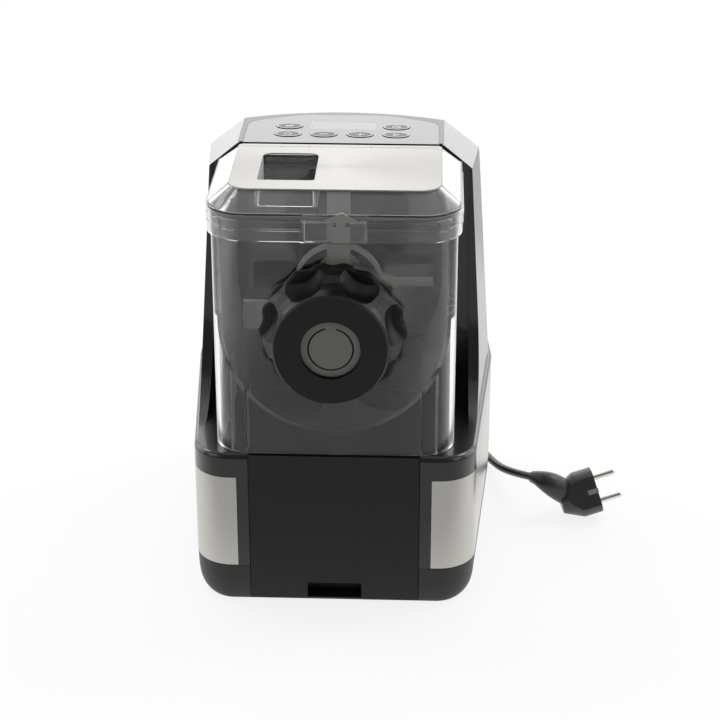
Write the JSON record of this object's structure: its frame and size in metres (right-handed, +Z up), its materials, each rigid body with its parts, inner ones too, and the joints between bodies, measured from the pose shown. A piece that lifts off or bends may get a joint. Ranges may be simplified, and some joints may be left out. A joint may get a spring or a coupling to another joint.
{
  "type": "electric pasta maker",
  "caption": "Black and steel electric pasta maker with a clear mixing chamber, a large round front knob, a drawer below and a touch panel on top.",
  "frame": {"origin": "bottom centre of the machine's bounding box, without its mains cord", "axes": "+Z up, -Y towards the front with the knob and drawer, +X to the right as seen from the front"},
  "size_m": [0.3413, 0.4766, 0.3184],
  "materials": {
    "housing_black": "moulded, dark and glossy",
    "tray_black": "moulded, fine grain",
    "foot_rubber": "soft, matt",
    "panel_steel": "brushed along its length",
    "panel_gloss": "high gloss",
    "display_glass": "smoked window",
    "circuit_board": "printed board",
    "clear_plastic": "clear and polished",
    "pale_plastic": "moulded, off-white",
    "seal_rubber": "silicone",
    "knob_black": "satin",
    "lid_steel": "fine brush across the width",
    "gear_steel": "machined",
    "plate_zinc": "zinc plated",
    "gearbox_metal": "die cast",
    "motor_metal": "zinc plated can",
    "cord_rubber": "smooth sheath",
    "plug_rubber": "moulded, satin",
    "pin_metal": "nickel plated",
    "key_plastic": "satin cap with a printed ring"
  },
  "bodies": {
    "housing": {"main_housing": "housing_black", "rear_cover": "housing_black", "base_tray": "tray_black", "rubber_feet": "foot_rubber", "steel_panel_left": "panel_steel", "steel_panel_right": "panel_steel", "control_panel": "panel_gloss", "display_window": "display_glass", "keypad_board": "circuit_board", "output_bearings": "gear_steel", "shaft_seal": "seal_rubber", "gear_plate": "plate_zinc", "gear_plate_screws": "plate_zinc", "gearbox": "gearbox_metal", "motor": "motor_metal", "power_board": "circuit_board", "interlock_switch": "tray_black", "cord_gland": "cord_rubber", "cord_tail": "cord_rubber", "cord_coil": "cord_rubber", "cord_lead": "cord_rubber", "plug_body": "plug_rubber", "plug_pins": "pin_metal", "plug_earth_clips": "pin_metal"},
    "drawer": {"drawer_front": "housing_black", "drawer_box": "tray_black"},
    "chamber": {"mixing_chamber": "clear_plastic", "chamber_bush": "pale_plastic", "extrusion_barrel": "pale_plastic", "barrel_seal": "seal_rubber", "shaping_disc": "pale_plastic"},
    "knob": {"locking_knob": "knob_black"},
    "auger_drive": {"auger": "pale_plastic", "mixing_paddle": "pale_plastic"},
    "lid": {"lid_frame": "clear_plastic", "lid_plate": "lid_steel", "lid_catch": "pale_plastic", "lid_seal": "seal_rubber"},
    "output": {"output_shaft": "gear_steel", "output_gear": "gear_steel"},
    "pinion": {"motor_pinion": "gear_steel"},
    "key_front_1_cap": {"key_front_1": "key_plastic"},
    "key_front_2_cap": {"key_front_2": "key_plastic"},
    "key_front_3_cap": {"key_front_3": "key_plastic"},
    "key_front_4_cap": {"key_front_4": "key_plastic"},
    "key_rear_left_cap": {"key_rear_left": "key_plastic"},
    "key_rear_right_cap": {"key_rear_right": "key_plastic"}
  },
  "joints": [
    {"name": "drawer_slide", "type": "slide", "parent": "housing", "child": "drawer", "axis": [0, -1, 0], "range_m": [0, 0.095]},
    {"name": "chamber_slide", "type": "slide", "parent": "housing", "child": "chamber", "axis": [0, -1, 0], "range_m": [0, 0.06]},
    {"name": "lid_lift", "type": "slide", "parent": "chamber", "child": "lid", "axis": [0, 0, 1], "range_m": [0, 0.06]},
    {"name": "knob_turn", "type": "hinge", "parent": "chamber", "child": "knob", "pos_m": [0, -0.13, 0.22], "axis": [0, -1, 0], "range_deg": [0, 90]},
    {"name": "auger_turn", "type": "hinge", "parent": "chamber", "child": "auger_drive", "pos_m": [0, -0.05, 0.22], "axis": [0, 1, 0], "continuous": true},
    {"name": "output_turn", "type": "hinge", "parent": "housing", "child": "output", "pos_m": [0, 0.02, 0.22], "axis": [0, 1, 0], "continuous": true},
    {"name": "pinion_turn", "type": "hinge", "parent": "housing", "child": "pinion", "pos_m": [0, 0.02, 0.16], "axis": [0, 1, 0], "continuous": true},
    {"name": "key_front_1_press", "type": "slide", "parent": "housing", "child": "key_front_1_cap", "axis": [0, 0, -1], "range_m": [0, 0.0005], "stiffness_N_per_m": 400, "springref_m": -0.0003},
    {"name": "key_front_2_press", "type": "slide", "parent": "housing", "child": "key_front_2_cap", "axis": [0, 0, -1], "range_m": [0, 0.0005], "stiffness_N_per_m": 400, "springref_m": -0.0003},
    {"name": "key_front_3_press", "type": "slide", "parent": "housing", "child": "key_front_3_cap", "axis": [0, 0, -1], "range_m": [0, 0.0005], "stiffness_N_per_m": 400, "springref_m": -0.0003},
    {"name": "key_front_4_press", "type": "slide", "parent": "housing", "child": "key_front_4_cap", "axis": [0, 0, -1], "range_m": [0, 0.0005], "stiffness_N_per_m": 400, "springref_m": -0.0003},
    {"name": "key_rear_left_press", "type": "slide", "parent": "housing", "child": "key_rear_left_cap", "axis": [0, 0, -1], "range_m": [0, 0.0005], "stiffness_N_per_m": 400, "springref_m": -0.0003},
    {"name": "key_rear_right_press", "type": "slide", "parent": "housing", "child": "key_rear_right_cap", "axis": [0, 0, -1], "range_m": [0, 0.0005], "stiffness_N_per_m": 400, "springref_m": -0.0003}
  ],
  "couplings": [
    {"joint": "output_turn", "follows": "auger_turn", "ratio": 1},
    {"joint": "pinion_turn", "follows": "auger_turn", "ratio": -4}
  ]
}
